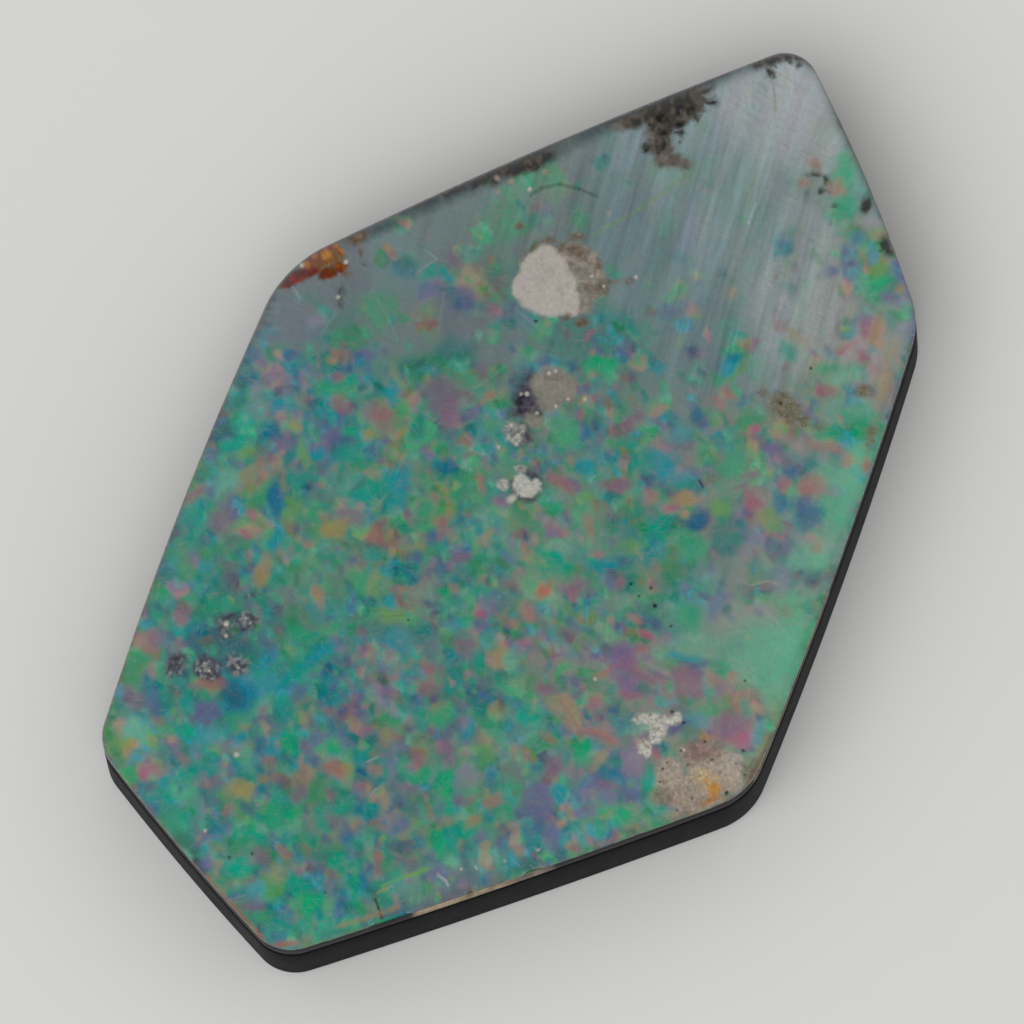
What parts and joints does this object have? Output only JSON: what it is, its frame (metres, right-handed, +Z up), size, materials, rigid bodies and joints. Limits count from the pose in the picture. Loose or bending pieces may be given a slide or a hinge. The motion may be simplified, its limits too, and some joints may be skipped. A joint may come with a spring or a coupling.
{
  "type": "opal triplet",
  "caption": "Flat, elongated freeform opal triplet: a clear quartz cap with a rounded shoulder over a thin slice of precious opal, cemented to a black backing.",
  "frame": {"origin": "on the flat underside, at the middle of the outline's box", "axes": "+Z up out of the cap, +Y along the stone towards its pointed end, +X to its right as seen from above"},
  "size_m": [0.0192, 0.0304, 0.0033],
  "materials": {
    "black_backing": "polished",
    "precious_opal": "polished, with patches of play of colour",
    "clear_quartz": "clear, polished"
  },
  "bodies": {
    "root": {"backing": "black_backing", "opal_slice": "precious_opal", "quartz_cap": "clear_quartz"}
  },
  "joints": []
}
